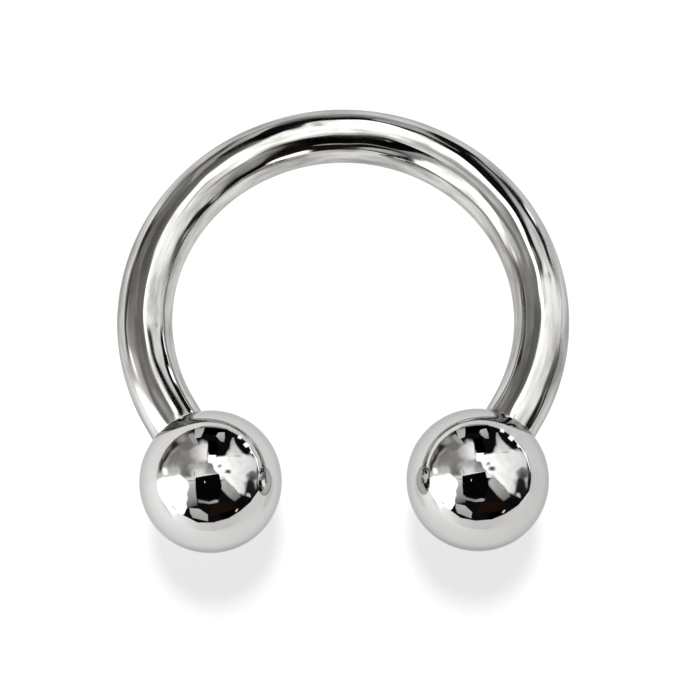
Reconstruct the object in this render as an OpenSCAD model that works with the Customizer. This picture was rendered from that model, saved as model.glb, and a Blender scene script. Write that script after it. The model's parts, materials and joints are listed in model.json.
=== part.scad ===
// A horseshoe barbell: an open ring of round steel wire with a ball screwed on each end.
// It lies on its side, as it would on a table. The top of the ring and both balls touch
// the surface at Z = 0, the ring's top points along +Y and its open side along -Y.

/* [Bar] */
// Thickness of the round wire
wire_d = 1.6; // [1.3:0.1:2]
// Clear width inside the ring
inside_d = 9.9; // [9:0.1:12]
// Angle that the bent wire sweeps round the ring
bend_angle = 241.8; // [236:0.2:246]
// Distance along the straight end of the wire from the bend to the ball's centre
ball_run = 2.32; // [2.2:0.02:2.6]
// Rounding on the edge of the wire's end
end_round = 0.12; // [0.06:0.02:0.16]

/* [Balls] */
// Diameter of each ball
ball_d = 4; // [3.6:0.1:4.4]
// Depth of the flat seat in the ball that the wire's end stands in
seat_depth = 0.1; // [0.06:0.01:0.15]

/* [Thread] */
// Outside diameter of the threaded pin on each end of the wire
thread_d = 1.2; // [1:0.05:1.2]
// Distance from one turn of the thread to the next
thread_pitch = 0.25; // [0.2:0.05:0.3]
// Number of turns on each pin
thread_turns = 7; // [5:1:8]

/* [Hidden] */
$fn = 160;

steel = [0.77, 0.77, 0.78];
wire_r = wire_d / 2;
ball_r = ball_d / 2;
ring_r = inside_d / 2 + wire_r;

// Gaps that let a ball screw on: round the wire's end, under it and round the thread
seat_gap = 0.03;
floor_gap = 0.02;
thread_gap = 0.03;

// Places along the wire's straight end, from the end of the bend to the ball
seat_r = wire_r + seat_gap;
seat_floor = ball_run - sqrt(ball_r * ball_r - seat_r * seat_r) + seat_depth;
shoulder = seat_floor - floor_gap;

// The pin: a plain neck under the shoulder, then turns as deep as a metric thread's
thread_r = thread_d / 2;
thread_depth = 0.61 * thread_pitch;
root_r = thread_r - thread_depth;
neck_l = 0.15;
pin_end = shoulder + neck_l + thread_turns * thread_pitch;

// The blind hole in the ball runs past the pin and ends in the cone of a drill
hole_r = thread_r + thread_gap;
hole_spare = 0.2;
hole_end = pin_end + hole_spare;
drill_point = 118;
drill_tip = hole_r / tan(drill_point / 2);

// Angle from the ring's top to the end of the bend, on each side
end_angle = bend_angle / 2;

// The balls are thicker than the wire, so the ring leans down from them to its top.
// ball_y is the place of the balls' centres along the flat ring, from its centre.
ball_y = ring_r * cos(end_angle) - ball_run * sin(end_angle);
lean = asin((ball_r - wire_r) / (ring_r - ball_y));
ring_z = wire_r + ring_r * sin(lean);
ring_y = (ball_r - wire_r - (ring_r + ball_y) * cos(lean)) / 2;

// Lays what is drawn in the flat ring down on the surface, centred over the origin
module lay() {
    translate([0, ring_y, ring_z]) rotate([-lean, 0, 0]) children();
}

// Puts what is drawn along +Z on the right-hand end of the bend
module right_end() {
    rotate([0, 0, -end_angle]) translate([0, ring_r, 0]) rotate([0, 90, 0]) children();
}

// The same on the left-hand end
module left_end() {
    mirror([1, 0, 0]) right_end() children();
}

// Straight wire from the bend to the rounded shoulder, then the threaded pin
module wire_end() {
    rounding = [for (a = [0:15:90])
        [wire_r - end_round * (1 - cos(a)), shoulder - end_round * (1 - sin(a))]];
    // Half turns: even ones are at the thread's root and odd ones at its crest
    turns = [for (half = [0:2 * thread_turns])
        [half % 2 == 0 ? root_r : thread_r, shoulder + neck_l + half * thread_pitch / 2]];
    rotate_extrude() polygon(concat(
        [[0, 0], [wire_r, 0]],
        rounding,
        [[root_r, shoulder]],
        turns,
        [[0, pin_end]]));
}

// A ball with its wire seat and blind threaded hole, drawn along the wire's end
module ball() {
    difference() {
        translate([0, 0, ball_run]) sphere(r = ball_r);
        cylinder(r = seat_r, h = seat_floor);
        cylinder(r = hole_r, h = hole_end);
        translate([0, 0, hole_end]) cylinder(r1 = hole_r, r2 = 0, h = drill_tip);
    }
}

// The bar is one piece of wire: the bend and both straight, threaded ends
module bar() {
    color(steel) lay() union() {
        rotate([0, 0, 90 - end_angle]) rotate_extrude(angle = bend_angle)
            translate([ring_r, 0]) circle(r = wire_r);
        left_end() wire_end();
        right_end() wire_end();
    }
}

module left_ball() {
    color(steel) lay() left_end() ball();
}

module right_ball() {
    color(steel) lay() right_end() ball();
}

bar();
left_ball();
right_ball();
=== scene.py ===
"""The horseshoe barbell in Blender: an open ring of polished steel wire with a ball screwed on each end."""

import json
import math

import bmesh
import bpy
from mathutils import Matrix, Vector


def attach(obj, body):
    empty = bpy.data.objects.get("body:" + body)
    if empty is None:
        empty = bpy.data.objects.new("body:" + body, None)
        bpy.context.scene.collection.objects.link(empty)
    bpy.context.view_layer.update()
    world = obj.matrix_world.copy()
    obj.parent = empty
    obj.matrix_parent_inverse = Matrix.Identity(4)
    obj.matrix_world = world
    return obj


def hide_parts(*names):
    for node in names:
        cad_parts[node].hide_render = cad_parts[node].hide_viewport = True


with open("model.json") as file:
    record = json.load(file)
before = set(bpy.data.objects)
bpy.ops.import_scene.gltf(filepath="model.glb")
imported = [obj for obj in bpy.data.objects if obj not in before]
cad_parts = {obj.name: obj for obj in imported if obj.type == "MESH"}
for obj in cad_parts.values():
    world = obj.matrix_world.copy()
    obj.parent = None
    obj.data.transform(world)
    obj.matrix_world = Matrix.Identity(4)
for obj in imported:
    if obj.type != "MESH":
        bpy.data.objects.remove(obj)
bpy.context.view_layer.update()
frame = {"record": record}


# The camera
# A short telephoto lens looks steeply down on the ring as it lies, with the ring's open side towards it. It
# stands close, so the balls in front look a little larger than the top of the ring behind them.
MM = 0.001
FRAME_PX = 695
SENSOR_MM = 36
FOCAL_PX = 1724

camera_away = 50 * MM
camera_tilt = math.radians(12.87)
camera_roll = math.radians(-0.39)
camera_aim = Vector((0.12, -0.71, 1.24)) * MM

camera_data = bpy.data.cameras.new("camera")
camera_data.sensor_width = SENSOR_MM
camera_data.lens = FOCAL_PX * SENSOR_MM / FRAME_PX
camera_data.clip_start = 1 * MM
camera = bpy.data.objects.new("camera", camera_data)
camera_turn = Matrix.Rotation(camera_tilt, 4, "X") @ Matrix.Rotation(camera_roll, 4, "Z")
camera.matrix_world = Matrix.Translation(camera_aim) @ camera_turn @ Matrix.Translation((0, 0, camera_away))
bpy.context.scene.collection.objects.link(camera)
bpy.context.scene.camera = camera
bpy.context.scene.view_settings.view_transform = "Standard"


# The bar
# One length of 1.6 mm round 316L steel wire, bent cold round a mandrel into most of a circle. The last
# stretch at each end stays straight. It is turned down there to a pin and threaded for the ball.
wire_r = 0.8 * MM
inside_d = 9.9 * MM
ring_r = inside_d / 2 + wire_r
end_angle = math.radians(241.8) / 2
ball_r = 2.0 * MM
ball_run = 2.32 * MM

seat_r = wire_r + 0.03 * MM
seat_floor = ball_run - math.sqrt(ball_r**2 - seat_r**2) + 0.1 * MM
shoulder = seat_floor - 0.02 * MM
end_round = 0.12 * MM

thread_pitch = 0.25 * MM
thread_turns = 7
thread_r = 0.6 * MM
thread_root_r = thread_r - 0.61 * thread_pitch
thread_start = shoulder + 0.15 * MM
pin_end = thread_start + thread_turns * thread_pitch
pin_chamfer = 0.1 * MM

# The balls are thicker than the wire, so the ring leans down from them to its top
ball_y = ring_r * math.cos(end_angle) - ball_run * math.sin(end_angle)
lean = math.asin((ball_r - wire_r) / (ring_r - ball_y))
top_of_ring = Vector(frame["record"]["mounts"][0]["pos_m"])
tip = Matrix.Rotation(-lean, 4, "X")
lay = Matrix.Translation(top_of_ring - tip @ Vector((0, ring_r, 0))) @ tip

# What is drawn along +Z goes on the right end of the bend, and half a turn over goes on the left end
right_end = (
    Matrix.Rotation(-end_angle, 4, "Z")
    @ Matrix.Translation((0, ring_r, 0))
    @ Matrix.Rotation(math.radians(90), 4, "Y")
)
left_end = Matrix.Rotation(math.radians(180), 4, "Y") @ right_end

WIRE_SIDES = 96
BEND_STEPS = 160
ROUND_STEPS = 8
ROWS_PER_TURN = 12


def thread_height(z, angle):
    """How far a right-handed thread stands up here: 0 in its root and 1 on its crest."""
    turn = ((z - thread_start) / thread_pitch - angle / math.tau) % 1
    ridge = 1 - abs(2 * turn - 1)
    return min(max((ridge - 0.12) / 0.76, 0), 1)


def turned(bm, outline, sides):
    """Turns an outline of (radius, z) points about Z, as on a lathe, and closes it on the axis."""
    verts = [bm.verts.new((r, 0, z)) for r, z in outline]
    edges = [bm.edges.new(pair) for pair in zip(verts, verts[1:])]
    bmesh.ops.spin(
        bm, geom=verts + edges, cent=(0, 0, 0), axis=(0, 0, 1), angle=math.tau, steps=sides, use_merge=True
    )
    bmesh.ops.remove_doubles(bm, verts=bm.verts[:], dist=0.0002 * MM)


def finished(bm, name, sharp_angle=35):
    """Makes the bmesh an object whose faces are smooth, apart from edges sharper than sharp_angle."""
    bmesh.ops.remove_doubles(bm, verts=bm.verts[:], dist=0.0002 * MM)
    bmesh.ops.recalc_face_normals(bm, faces=bm.faces[:])
    for face in bm.faces:
        face.smooth = True
    for edge in bm.edges:
        edge.smooth = edge.calc_face_angle(0) < math.radians(sharp_angle)
    mesh = bpy.data.meshes.new(name)
    bm.to_mesh(mesh)
    bm.free()
    made = bpy.data.objects.new(name, mesh)
    bpy.context.scene.collection.objects.link(made)
    return made


end_outline = [(wire_r, 0), (wire_r, shoulder / 2)]
for step in range(ROUND_STEPS + 1):
    angle = math.radians(90) * step / ROUND_STEPS
    end_outline.append(
        (wire_r - end_round * (1 - math.cos(angle)), shoulder - end_round * (1 - math.sin(angle)))
    )
end_outline.append((thread_root_r + 0.03 * MM, shoulder))
thread_rows = round((pin_end - shoulder) / thread_pitch * ROWS_PER_TURN)
for row in range(thread_rows + 1):
    end_outline.append((thread_root_r, shoulder + (pin_end - shoulder) * row / thread_rows))
end_outline.append((thread_root_r * 0.6, pin_end))
end_outline.append((0, pin_end))

bar = bmesh.new()
turned(bar, end_outline, WIRE_SIDES)
for vert in bar.verts:
    x, y, z = vert.co
    radius = math.hypot(x, y)
    if z > thread_start and radius > thread_root_r * 0.9:
        rise = min((z - thread_start) / (0.5 * thread_pitch), 1)
        height = thread_height(z, math.atan2(y, x)) * rise
        cut = thread_root_r - 0.02 * MM + max(pin_end - z, 0) / pin_chamfer * (thread_r - thread_root_r)
        new_radius = min(thread_root_r + (thread_r - thread_root_r) * height, cut)
        vert.co.x = x / radius * new_radius
        vert.co.y = y / radius * new_radius

bmesh.ops.transform(bar, matrix=right_end, verts=bar.verts[:])
other = bmesh.ops.duplicate(bar, geom=bar.verts[:] + bar.edges[:] + bar.faces[:])
other_verts = [part for part in other["geom"] if isinstance(part, bmesh.types.BMVert)]
bmesh.ops.transform(bar, matrix=Matrix.Rotation(math.radians(180), 4, "Y"), verts=other_verts)
open_edges = [edge for edge in bar.edges if edge.is_boundary and edge.verts[0].co.x > 0]
bmesh.ops.spin(
    bar, geom=open_edges, cent=(0, 0, 0), axis=(0, 0, 1), angle=2 * end_angle, steps=BEND_STEPS
)


def straightened(point):
    """Where a point of the bent wire would be on a straight one: the section stays and Z is the length."""
    side = 1 if point.x > 0 else -1
    angle = math.atan2(abs(point.x), point.y)
    if angle <= end_angle + 0.0001:
        return Vector((math.hypot(point.x, point.y) - ring_r, point.z, side * ring_r * angle))
    local = right_end.inverted() @ Vector((abs(point.x), point.y, point.z))
    return Vector((local.y, -local.x, side * (ring_r * end_angle + local.z)))


straight = bar.verts.layers.float_vector.new("straight_wire")
for vert in bar.verts:
    vert[straight] = straightened(vert.co)
bmesh.ops.transform(bar, matrix=lay, verts=bar.verts[:])
bar = finished(bar, "polished_bar")
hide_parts("bar")
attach(bar, "bar")


def linear(hex_code):
    """An sRGB hex colour as the linear RGBA that Blender's sockets take."""
    parts = [int(hex_code[i : i + 2], 16) / 255 for i in (1, 3, 5)]
    return [*(p / 12.92 if p <= 0.04045 else ((p + 0.055) / 1.055) ** 2.4 for p in parts), 1.0]


def add(tree, kind, inputs, **settings):
    """Adds a node with its settings. Each input is a value, or the socket that feeds it."""
    node = tree.nodes.new(kind)
    for name, value in settings.items():
        setattr(node, name, value)
    for name, value in inputs.items():
        if isinstance(value, bpy.types.NodeSocket):
            tree.links.new(value, node.inputs[name])
        else:
            node.inputs[name].default_value = value
    return node


# Polished 316L steel: bending and buffing by hand leave long shallow waves, hazy streaks and hairlines
# along the wire. The eye gets a mirror whose reflections swell, thin and dull a little, with the odd tiny
# pit, and whose rim is a shade duller than plain steel's at a glancing angle.
wire_steel = bpy.data.materials.new("buffed_316L_wire")
wire_steel.use_nodes = True
tree = wire_steel.node_tree
tree.nodes.clear()
along = add(tree, "ShaderNodeAttribute", {}, attribute_name="straight_wire")
wave_place = add(tree, "ShaderNodeMapping", {"Vector": along.outputs["Vector"], "Scale": (1, 1, 0.4)})
waves = add(
    tree,
    "ShaderNodeTexNoise",
    {"Vector": wave_place.outputs["Vector"], "Scale": 1 / (0.8 * MM), "Detail": 1},
)
streak_place = add(tree, "ShaderNodeMapping", {"Vector": along.outputs["Vector"], "Scale": (1, 1, 0.18)})
streaks = add(
    tree,
    "ShaderNodeTexNoise",
    {"Vector": streak_place.outputs["Vector"], "Scale": 1 / (0.3 * MM), "Detail": 3},
)
# Real hairlines are 0.01 mm apart, too fine to show, so these are 0.05 mm apart
hair_place = add(tree, "ShaderNodeMapping", {"Vector": along.outputs["Vector"], "Scale": (1, 1, 0.04)})
hairs = add(
    tree,
    "ShaderNodeTexNoise",
    {"Vector": hair_place.outputs["Vector"], "Scale": 1 / (0.05 * MM), "Detail": 3},
)
smudged = add(
    tree,
    "ShaderNodeMapRange",
    {"Value": streaks.outputs["Fac"], "From Min": 0.35, "From Max": 0.7, "To Min": 0, "To Max": 1},
)
buffed = add(
    tree,
    "ShaderNodeMix",
    {"Factor": smudged.outputs["Result"], "A": linear("#CFCECC"), "B": linear("#989692")},
    data_type="RGBA",
)
pits = add(tree, "ShaderNodeTexVoronoi", {"Vector": along.outputs["Vector"], "Scale": 1 / (1.6 * MM)})
pitted = add(
    tree,
    "ShaderNodeMapRange",
    {"Value": pits.outputs["Distance"], "From Min": 0.018, "From Max": 0.034, "To Min": 1, "To Max": 0},
)
tone = add(
    tree,
    "ShaderNodeMix",
    {"Factor": pitted.outputs["Result"], "A": buffed.outputs["Result"], "B": linear("#3A3836")},
    data_type="RGBA",
)
hair_blur = add(
    tree,
    "ShaderNodeMapRange",
    {"Value": hairs.outputs["Fac"], "From Min": 0.3, "From Max": 0.75, "To Min": 0.02, "To Max": 0.06},
)
streak_blur = add(
    tree,
    "ShaderNodeMapRange",
    {"Value": streaks.outputs["Fac"], "From Min": 0.4, "From Max": 0.7, "To Min": 0, "To Max": 0.14},
)
blur = add(tree, "ShaderNodeMath", {0: hair_blur.outputs["Result"], 1: streak_blur.outputs["Result"]})
wave_bump = add(
    tree, "ShaderNodeBump", {"Height": waves.outputs["Fac"], "Strength": 1, "Distance": 0.045 * MM}
)
hair_bump = add(
    tree,
    "ShaderNodeBump",
    {
        "Height": hairs.outputs["Fac"],
        "Strength": 1,
        "Distance": 0.0001 * MM,
        "Normal": wave_bump.outputs["Normal"],
    },
)
shader = add(
    tree,
    "ShaderNodeBsdfPrincipled",
    {
        "Base Color": tone.outputs["Result"],
        "Metallic": 1.0,
        "Specular Tint": linear("#CFCECD"),
        "Roughness": blur.outputs["Value"],
        "Normal": hair_bump.outputs["Normal"],
    },
)
add(tree, "ShaderNodeOutputMaterial", {"Surface": shader.outputs["BSDF"]})
bar.data.materials.append(wire_steel)


# The two balls
# Each is a 4 mm ball of the same steel, drilled blind, threaded, and cut with a shallow flat seat that the
# shoulder of the wire stands in. They are tumbled and buffed all over, and screw on by hand.
BALL_SIDES = 192
BALL_ROWS = 84
hole_end = pin_end + 0.2 * MM
hole_r = thread_r + 0.03 * MM
hole_root_r = thread_root_r + 0.03 * MM
drill_tip = hole_r / math.tan(math.radians(118 / 2))
rim_round = 0.02 * MM
rim_angle = math.asin((seat_r + rim_round) / ball_r)

ball_outline = []
for row in range(BALL_ROWS + 1):
    angle = math.pi - (math.pi - rim_angle) * row / BALL_ROWS
    ball_outline.append((ball_r * math.sin(angle), ball_run - ball_r * math.cos(angle)))
ball_outline[0] = (0, ball_run + ball_r)
rim_z = ball_outline[-1][1]
ball_outline.append((seat_r + 0.3 * rim_round, rim_z + 0.2 * rim_round))
ball_outline.append((seat_r, rim_z + rim_round))
ball_outline.append((seat_r, seat_floor))
hole_rows = round((hole_end - seat_floor) / thread_pitch * ROWS_PER_TURN)
for row in range(hole_rows + 1):
    ball_outline.append((hole_r, seat_floor + (hole_end - seat_floor) * row / hole_rows))
ball_outline.append((0, hole_end + drill_tip))


def screw_ball(name, node, end):
    """Turns a ball, cuts the thread in its hole and puts it on one end of the bar."""
    bm = bmesh.new()
    turned(bm, ball_outline, BALL_SIDES)
    for vert in bm.verts:
        x, y, z = vert.co
        radius = math.hypot(x, y)
        if abs(radius - hole_r) < 0.001 * MM and z > seat_floor + 0.001 * MM:
            entry = min((z - seat_floor) / thread_pitch, 1)
            run_out = min(max((hole_end - z) / thread_pitch, 0), 1)
            height = 1 - (1 - thread_height(z, math.atan2(y, x))) * entry * run_out
            new_radius = hole_root_r + (hole_r - hole_root_r) * height
            vert.co.x = x / radius * new_radius
            vert.co.y = y / radius * new_radius
    bmesh.ops.transform(bm, matrix=lay @ end, verts=bm.verts[:])
    ball = finished(bm, name)
    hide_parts(node)
    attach(ball, node)
    return ball


left_ball = screw_ball("polished_left_ball", "left_ball", left_end)
right_ball = screw_ball("polished_right_ball", "right_ball", right_end)

# Tumbled and buffed 316L steel: smoother than the wire, with no grain. The eye gets a sharp mirror with a
# very slight ripple, a breath of haze, and a few specks where the tumbling left a mark.
ball_steel = bpy.data.materials.new("tumbled_316L_balls")
ball_steel.use_nodes = True
tree = ball_steel.node_tree
tree.nodes.clear()
place = add(tree, "ShaderNodeTexCoord", {})
ripple = add(
    tree, "ShaderNodeTexNoise", {"Vector": place.outputs["Object"], "Scale": 1 / (0.9 * MM), "Detail": 1}
)
haze = add(
    tree, "ShaderNodeTexNoise", {"Vector": place.outputs["Object"], "Scale": 1 / (0.12 * MM), "Detail": 4}
)
clean = add(
    tree,
    "ShaderNodeMix",
    {"Factor": ripple.outputs["Fac"], "A": linear("#CBCAC9"), "B": linear("#C6C5C4")},
    data_type="RGBA",
)
specks = add(tree, "ShaderNodeTexVoronoi", {"Vector": place.outputs["Object"], "Scale": 1 / (1.3 * MM)})
specked = add(
    tree,
    "ShaderNodeMapRange",
    {"Value": specks.outputs["Distance"], "From Min": 0.015, "From Max": 0.03, "To Min": 1, "To Max": 0},
)
tone = add(
    tree,
    "ShaderNodeMix",
    {"Factor": specked.outputs["Result"], "A": clean.outputs["Result"], "B": linear("#4A4846")},
    data_type="RGBA",
)
blur = add(
    tree,
    "ShaderNodeMapRange",
    {"Value": haze.outputs["Fac"], "From Min": 0.35, "From Max": 0.7, "To Min": 0.015, "To Max": 0.05},
)
ripple_bump = add(
    tree, "ShaderNodeBump", {"Height": ripple.outputs["Fac"], "Strength": 1, "Distance": 0.002 * MM}
)
shader = add(
    tree,
    "ShaderNodeBsdfPrincipled",
    {
        "Base Color": tone.outputs["Result"],
        "Metallic": 1.0,
        "Specular Tint": linear("#CFCECD"),
        "Roughness": blur.outputs["Result"],
        "Normal": ripple_bump.outputs["Normal"],
    },
)
add(tree, "ShaderNodeOutputMaterial", {"Surface": shader.outputs["BSDF"]})
left_ball.data.materials.append(ball_steel)
right_ball.data.materials.append(ball_steel)


# The floor
# A large sheet of satin white acrylic, with a soft broad sheen. It is lit from all round and from behind,
# and the exposure burns it out to plain white, apart from the shade in front of the balls. The steel
# mirrors it a tone lower, with a painted glow mixed in that is brighter on the left, as if lit by the big
# soft box.
FLOOR_SIZE = 800 * MM
floor_mesh = bmesh.new()
bmesh.ops.create_grid(floor_mesh, x_segments=1, y_segments=1, size=FLOOR_SIZE / 2)
floor = finished(floor_mesh, "floor")
acrylic = bpy.data.materials.new("satin_white_acrylic")
acrylic.use_nodes = True
tree = acrylic.node_tree
tree.nodes.clear()
ray = add(tree, "ShaderNodeLightPath", {})
satin = add(
    tree, "ShaderNodeBsdfPrincipled", {"Base Color": linear("#F0F0EF"), "Roughness": 0.3, "IOR": 1.5}
)
place = add(tree, "ShaderNodeTexCoord", {})
across = add(tree, "ShaderNodeSeparateXYZ", {"Vector": place.outputs["Object"]})
# Painted light: an emission that only the steel sees, brighter on the left, standing in for the big soft
# box's light on the floor
from_left = add(
    tree,
    "ShaderNodeMapRange",
    {
        "Value": across.outputs["X"],
        "From Min": -14 * MM,
        "From Max": 14 * MM,
        "To Min": 1.35,
        "To Max": 1.0,
    },
)
painted_box_glow = add(
    tree, "ShaderNodeEmission", {"Color": linear("#FFFFFF"), "Strength": from_left.outputs["Result"]}
)
for_steel = add(
    tree, "ShaderNodeMixShader", {0: 0.3, 1: painted_box_glow.outputs["Emission"], 2: satin.outputs["BSDF"]}
)
burnt_out = add(tree, "ShaderNodeEmission", {"Color": linear("#FFFFFF"), "Strength": 1.22})
for_lens = add(
    tree, "ShaderNodeMixShader", {0: 0.45, 1: burnt_out.outputs["Emission"], 2: satin.outputs["BSDF"]}
)
seen = add(
    tree,
    "ShaderNodeMixShader",
    {0: ray.outputs["Is Camera Ray"], 1: for_steel.outputs["Shader"], 2: for_lens.outputs["Shader"]},
)
add(tree, "ShaderNodeOutputMaterial", {"Surface": seen.outputs["Shader"]})
floor.data.materials.append(acrylic)


# The room
# The lens sees plain white behind the floor. The floor gets even light from all round, and the steel
# mirrors a dark room with the studio's lamps and cards in it.
world = bpy.data.worlds.new("studio")
world.use_nodes = True
bpy.context.scene.world = world
tree = world.node_tree
tree.nodes.clear()
ray = add(tree, "ShaderNodeLightPath", {})
white_room = add(tree, "ShaderNodeBackground", {"Color": linear("#FFFFFF"), "Strength": 1.05})
dark_room = add(tree, "ShaderNodeBackground", {"Color": linear("#0B0B0D"), "Strength": 1.8})
fill_light = add(tree, "ShaderNodeBackground", {"Color": linear("#FFFFFF"), "Strength": 0.3})
for_steel = add(
    tree,
    "ShaderNodeMixShader",
    {
        0: ray.outputs["Is Glossy Ray"],
        1: fill_light.outputs["Background"],
        2: dark_room.outputs["Background"],
    },
)
for_lens = add(
    tree,
    "ShaderNodeMixShader",
    {
        0: ray.outputs["Is Camera Ray"],
        1: for_steel.outputs["Shader"],
        2: white_room.outputs["Background"],
    },
)
add(tree, "ShaderNodeOutputWorld", {"Surface": for_lens.outputs["Shader"]})

# The back lamp: a soft box high up behind, far enough off to light the whole sheet evenly. The balls shade
# the floor in front of them. The thin wire stands in light from all round and throws no shade.
lamp_data = bpy.data.lights.new("back_lamp", "SUN")
lamp_data.angle = math.radians(20)
lamp_data.energy = 3.2
lamp = bpy.data.objects.new("back_lamp", lamp_data)
lamp_height = math.radians(58)
lamp.matrix_world = Matrix.Rotation(lamp_height - math.radians(90), 4, "X")
lamp.visible_glossy = False
bpy.context.scene.collection.objects.link(lamp)
shading_pieces = bpy.data.collections.new("shading_pieces")
shading_pieces.objects.link(left_ball)
shading_pieces.objects.link(right_ball)
lamp.light_linking.blocker_collection = shading_pieces


# The lamps and cards that the steel mirrors
# Sheets of card and diffuser hang round the barbell, 30 to 95 mm away, and only the steel sees them. Their
# corners are given in degrees from straight overhead, to the right and to the back. A few light the wire
# alone or the balls alone, and some of those are thin, with a cover under 1.
STEEL_SHARE = 0.56
CARD_STEPS = 6
card_centre = Vector((0, -4.7, 2.0)) * MM
wire_alone = bpy.data.collections.new("wire_alone")
wire_alone.objects.link(bar)
balls_alone = bpy.data.collections.new("balls_alone")
balls_alone.objects.link(left_ball)
balls_alone.objects.link(right_ball)


def card(name, away, rows, tone, last_tone=None, soft=None, gain=1, cover=1, lights=None):
    """Hangs a sheet away mm off, with its sides through the pairs in rows, as bright in the steel as tone.

    It fades to last_tone, soft is the share of each side that frays, and lights are the pieces it lights.
    """
    bm = bmesh.new()
    bm.loops.layers.uv.new("card")
    bays = len(rows) - 1
    bmesh.ops.create_grid(bm, x_segments=CARD_STEPS, y_segments=CARD_STEPS * bays, size=0.5, calc_uvs=True)
    for vert in bm.verts:
        along = (vert.co.y + 0.5) * bays
        bay = min(int(along), bays - 1)
        side = [Vector(rows[bay][i]).lerp(Vector(rows[bay + 1][i]), along - bay) for i in (0, 1)]
        lean_to = side[0].lerp(side[1], vert.co.x + 0.5)
        zenith = math.radians(lean_to.length)
        flat = lean_to.normalized() * math.sin(zenith)
        vert.co = card_centre + Vector((flat.x, flat.y, math.cos(zenith))) * away * MM
    made = finished(bm, name)
    made.visible_camera = False
    made.visible_diffuse = False
    made.visible_shadow = False
    if lights:
        made.light_linking.receiver_collection = lights

    sheet = bpy.data.materials.new(name)
    sheet.use_nodes = True
    tree = sheet.node_tree
    tree.nodes.clear()
    edges = add(tree, "ShaderNodeUVMap", {}, uv_map="card")
    across = add(tree, "ShaderNodeSeparateXYZ", {"Vector": edges.outputs["UV"]})
    fade = add(
        tree,
        "ShaderNodeMix",
        {"Factor": across.outputs["Y"], "A": linear(tone), "B": linear(last_tone or tone)},
        data_type="RGBA",
    )
    place = add(tree, "ShaderNodeTexCoord", {})
    blotches = add(
        tree, "ShaderNodeTexNoise", {"Vector": place.outputs["Object"], "Scale": 1 / (14 * MM), "Detail": 0}
    )
    strength = gain / STEEL_SHARE
    uneven = add(
        tree,
        "ShaderNodeMapRange",
        {
            "Value": blotches.outputs["Fac"],
            "From Min": 0.3,
            "From Max": 0.6,
            "To Min": 0.9 * strength,
            "To Max": strength,
        },
    )
    glow = add(
        tree, "ShaderNodeEmission", {"Color": fade.outputs["Result"], "Strength": uneven.outputs["Result"]}
    )
    surface = glow.outputs["Emission"]
    if soft:
        for axis, width in zip("XY", soft):
            inward = add(tree, "ShaderNodeMath", {0: across.outputs[axis], 1: 0.5}, operation="PINGPONG")
            ragged = add(
                tree,
                "ShaderNodeMath",
                {0: blotches.outputs["Fac"], 1: width, 2: inward.outputs[0]},
                operation="MULTIPLY_ADD",
            )
            edge = add(
                tree,
                "ShaderNodeMapRange",
                {"Value": ragged.outputs[0], "From Min": 0.4 * width, "From Max": 1.4 * width},
                interpolation_type="SMOOTHSTEP",
            )
            covered = add(
                tree, "ShaderNodeMath", {0: edge.outputs["Result"], 1: cover}, operation="MULTIPLY"
            )
            cover = covered.outputs[0]
        clear = add(tree, "ShaderNodeBsdfTransparent", {})
        mixed = add(tree, "ShaderNodeMixShader", {0: cover, 1: clear.outputs["BSDF"], 2: surface})
        surface = mixed.outputs["Shader"]
    add(tree, "ShaderNodeOutputMaterial", {"Surface": surface})
    sheet.cycles.emission_sampling = "NONE"
    made.data.materials.append(sheet)


# The camera itself, with the grey rail that it stands on
rows = [((-23, -33), (13, -38)), ((-24, -17), (17.5, -15)), ((-23.5, -2), (12.5, 4))]
card("camera_body", 46, rows, "#050506")
rows = [((-10.2, -10.8), (-8.6, -10.8)), ((-10.2, -7.2), (-8.6, -7.2))]
card("camera_glint", 45, rows, "#F4F4F4", soft=(0.3, 0.3))
rows = [((-22.5, -34.5), (-22, -40.5)), ((-3, -39.5), (-3, -44)), ((15, -34.5), (11, -42))]
card("camera_rail", 48, rows, "#7E7E7C", "#A4A3A1", soft=(0.2, 0.1))
rows = [((-34, -64), (-8, -73)), ((-37, -55), (-7, -61)), ((-36.5, -47), (-20, -50))]
card("low_grey_patch", 46, rows, "#A4A4A2", "#B2B2B0", soft=(0.03, 0.03))

# The near edge of the white sheet that the barbell lies on curls up
rows = [((-58, -52), (-72, -60)), ((-43, -62), (-54, -78)), ((-27, -73), (-31, -89)), ((0, -76), (0, -93))]
card("sheet_edge_left", 42, rows, "#F2F2F1", "#BDBCBB")
rows = [
    ((0, -76), (0, -93)),
    ((28, -71), (31, -89)),
    ((50, -59), (58, -74)),
    ((70, -43), (80, -50)),
    ((86, -20), (90, -21)),
]
card("sheet_edge_right", 42, rows, "#BDBCBB", "#CBCAC9")

# The big soft box on the left, a grey strip that stands beside it, and a small lamp behind it
rows = [
    ((-66, -66), (-46, -59)),
    ((-76, -50), (-38.5, -47)),
    ((-86, -32), (-35, -30)),
    ((-91, -15), (-32, -15)),
    ((-93, -5), (-34, -5)),
    ((-91, 5), (-44, 6)),
]
card("big_soft_box", 71, rows, "#FFFFFF", soft=(0.1, 0.1), gain=1.4)
rows = [((-40, -50), (-20, -46)), ((-38, -36), (-21, -34)), ((-36, -18), (-21, -18)), ((-36, -5), (-20, -5))]
card("strip_by_camera", 76, rows, "#505050", "#CCCBC9", soft=(0.1, 0.1))
rows = [((-68, -40), (-66, -39)), ((-60, -50), (-57, -50))]
card("lamp_clamp", 60, rows, "#6C6C6C", soft=(0.4, 0.3))
rows = [((-77, 4), (-64, 4)), ((-79, 21), (-67, 21))]
card("small_lamp", 60, rows, "#FFFFFF", soft=(0.42, 0.42), gain=1.4)

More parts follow.
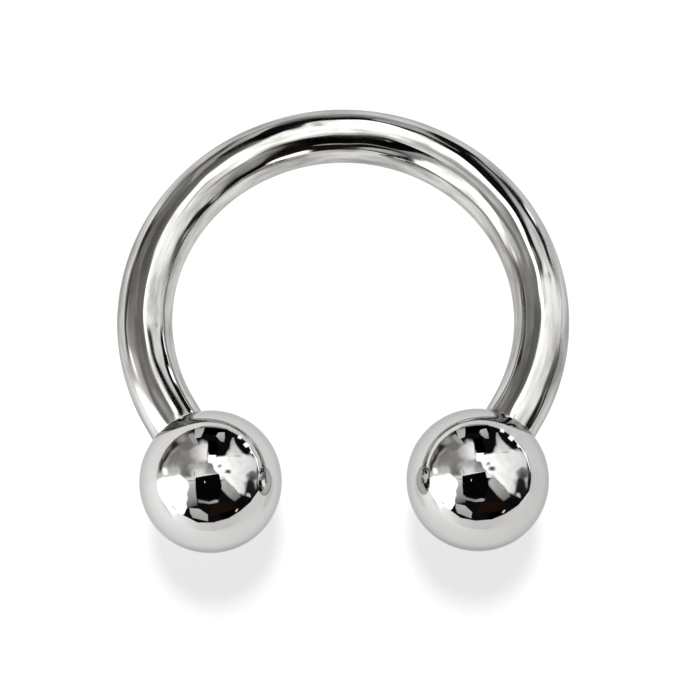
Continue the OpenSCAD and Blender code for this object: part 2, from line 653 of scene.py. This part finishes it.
# The grey wall on the left, darker towards the back, with a seam under the ceiling and a rim by the floor
rows = [((-91, -2), (-24, -6)), ((-90, 10), (-24, 12)), ((-85, 32), (-26, 34))]
card("left_wall", 95, rows, "#DCDBD9", "#8A8988")
rows = [((-88, 16), (-24, 16)), ((-78, 44), (-26, 40)), ((-62, 66), (-24, 60)), ((-36, 84), (-20, 74))]
card("left_wall_back", 94, rows, "#7C7B7A", "#6A6967", soft=(0.03, 0.2))
rows = [((-90, 14), (-70, 14)), ((-84, 34), (-64, 32)), ((-66, 58), (-50, 48)), ((-44, 78), (-34, 66))]
card("left_wall_low", 93, rows, "#A09F9D", "#8E8D8B", soft=(0.35, 0.15))
rows = [((-46, -7), (-22, -5)), ((-50, 8), (-24, 9)), ((-50, 25), (-23, 24)), ((-48, 46), (-23, 42))]
card("dark_seam", 88, rows, "#5E5D5C", "#8A8988", soft=(0.5, 0.2))
rows = [((-90, 10), (-77, 10)), ((-86, 28), (-74, 26)), ((-74, 50), (-56, 43)), ((-59, 70), (-42, 57))]
card("dark_rim", 74, rows, "#3E3A38", "#1E1A18", soft=(0.5, 0.2))

# The pale ceiling and its lamp, with the shade that glows on the left of it
rows = [((-26, -5), (30, -6)), ((-27, 8), (28, 8)), ((-27, 13), (26, 13)), ((-27, 26), (12, 26))]
card("ceiling", 92, rows, "#E9E9E8", "#929190", soft=(0.1, 0.04))
rows = [((-27, 22), (12, 22)), ((-30, 40), (-4, 40)), ((-30, 52), (-16, 52))]
card("ceiling_back", 93, rows, "#929190", "#7C7B7A", soft=(0.06, 0.06))
rows = [((-11, 3), (16, 3)), ((-9, 16), (16, 16)), ((-7, 25), (17, 25))]
card("ceiling_glow", 91, rows, "#FFFFFF", soft=(0.35, 0.05), gain=2.2, cover=0.5, lights=wire_alone)
rows = [((-33, 28), (-33, 42)), ((-22, 20), (-22, 57)), ((-12, 18), (-14, 63)), ((-2, 20), (-5, 58))]
card(
    "lamp_shade", 86, rows, "#797978", "#F6F6F5", soft=(0.3, 0.12), gain=1.75, cover=0.5, lights=balls_alone
)
rows = [((-4, 19), (13, 19)), ((-4, 38), (10, 38))]
card("ceiling_lamp", 84, rows, "#FFFFFF", soft=(0.2, 0.15), gain=1.35)
rows = [((-3, 33), (12, 33)), ((-4, 46), (12, 46)), ((-6, 60), (8, 61))]
card("ceiling_lamp_back", 82, rows, "#FFFFFF", soft=(0.1, 0.06), gain=1.35, lights=wire_alone)

# The white wall on the right, with a few dark things in front of it
rows = [
    ((6, 10), (0, 27)),
    ((17, 0), (14, 33)),
    ((35, -15), (27, 36)),
    ((49, -30), (40, 40)),
    ((66, -31), (60, 46)),
    ((84, -18), (81, 47)),
]
card("white_wall", 88, rows, "#F4F4F3", "#B8B8B7", soft=(0.1, 0.05), gain=1.3)
rows = [((18, 5), (32, 3)), ((20, 12), (32, 13))]
card("dark_mark", 30, rows, "#202022", "#5A5A5C", soft=(0.5, 0.45))
rows = [((10, 12), (19, 13)), ((12, 20), (22, 22))]
card("grey_mark", 82, rows, "#8C8C8B", soft=(0.5, 0.5))
rows = [((41, -42), (56, -32)), ((28, -31), (44, -20)), ((13, -15), (21, 4))]
card("grey_strip", 80, rows, "#6A6967", "#B8B7B5", soft=(0.25, 0.1))
rows = [((54, -38), (80, -40)), ((50, -24), (87, -26)), ((51, -8), (90, -10)), ((60, 8), (90, 8))]
card("dark_right_low", 75, rows, "#060607", "#28282A", soft=(0.4, 0.3))
rows = [((60, -10), (90, -8)), ((58, 6), (92, 6)), ((68, 17), (88, 17))]
card("dark_right", 76, rows, "#1C1C1E", "#7C7C7E", soft=(0.4, 0.35))
rows = [((59, -32), (74, -34)), ((63, -23), (71, -25))]
card("streak_right", 70, rows, "#C4C4C2", soft=(0.35, 0.4))

# The windows and panels at the back, pale against the dark room
rows = [((22, 33), (66, 40)), ((28, 47), (48, 51)), ((29, 58), (40, 60)), ((32, 71), (36, 73))]
card("grey_fan", 90, rows, "#E0E0DF", "#929290", soft=(0.3, 0.04))
rows = [((-27, 63), (-17, 65)), ((-29, 73), (-15, 75)), ((-30, 84), (-14, 87))]
card("facet_left", 75, rows, "#BAB9B7", "#A4A3A1", soft=(0.05, 0.05))
rows = [((-25, 50), (-18, 52)), ((-34, 62), (-26, 65)), ((-39, 71), (-32, 76))]
card("facet_low", 76, rows, "#959492", "#A09F9D", soft=(0.08, 0.06))
rows = [((15, 59), (20, 59)), ((6, 69), (20.5, 70)), ((9, 77), (19, 80))]
card("facet_right", 75, rows, "#8C8B89", "#BCBBB9", soft=(0.05, 0.05))
rows = [((-22, 81), (24, 81)), ((-24, 94), (26, 94))]
card("sky_band", 78, rows, "#050506", "#B6B6BA", soft=(0.06, 0.1))
rows = [((-22, 71), (24, 71)), ((-24, 88), (26, 88))]
card("sky_band_low", 77, rows, "#050506", "#ACACB0", soft=(0.06, 0.1), lights=wire_alone)
rows = [((39, 72), (47, 70)), ((42, 84), (52, 80))]
card("blue_lamp_1", 70, rows, "#E9F1FB", soft=(0.25, 0.25), gain=1.3)
rows = [((51, 62), (57, 56)), ((57, 71), (65, 64))]
card("blue_lamp_2", 70, rows, "#F0F5FC", soft=(0.25, 0.25), gain=1.3)
rows = [((64, 51), (68, 46)), ((69, 57), (74, 52))]
card("blue_lamp_3", 70, rows, "#E9F1FB", soft=(0.3, 0.3), gain=1.2)
rows = [((87, 10), (89.5, 10)), ((78, 39), (80.5, 40)), ((59, 64), (61, 66))]
card("window_band", 72, rows, "#E9F0F8", soft=(0.2, 0.2), gain=1.6)

# The dark floor stand in front with a pale glow behind it, and the warm lamp beside it
rows = [((-6, -68), (50, -54)), ((2, -44), (40, -38))]
card("warm_floor_stand", 85, rows, "#1A0E08", soft=(0.25, 0.25))
rows = [((13, -62), (18, -79)), ((29, -56), (40, -72)), ((46, -51), (60, -62))]
card("front_glow", 87, rows, "#FFFFFF", soft=(0.25, 0.25), gain=1.3, lights=wire_alone)
rows = [((41, -60), (45, -60)), ((45, -53), (49, -53))]
card("warm_lamp", 60, rows, "#F3E2C8", soft=(0.3, 0.3))
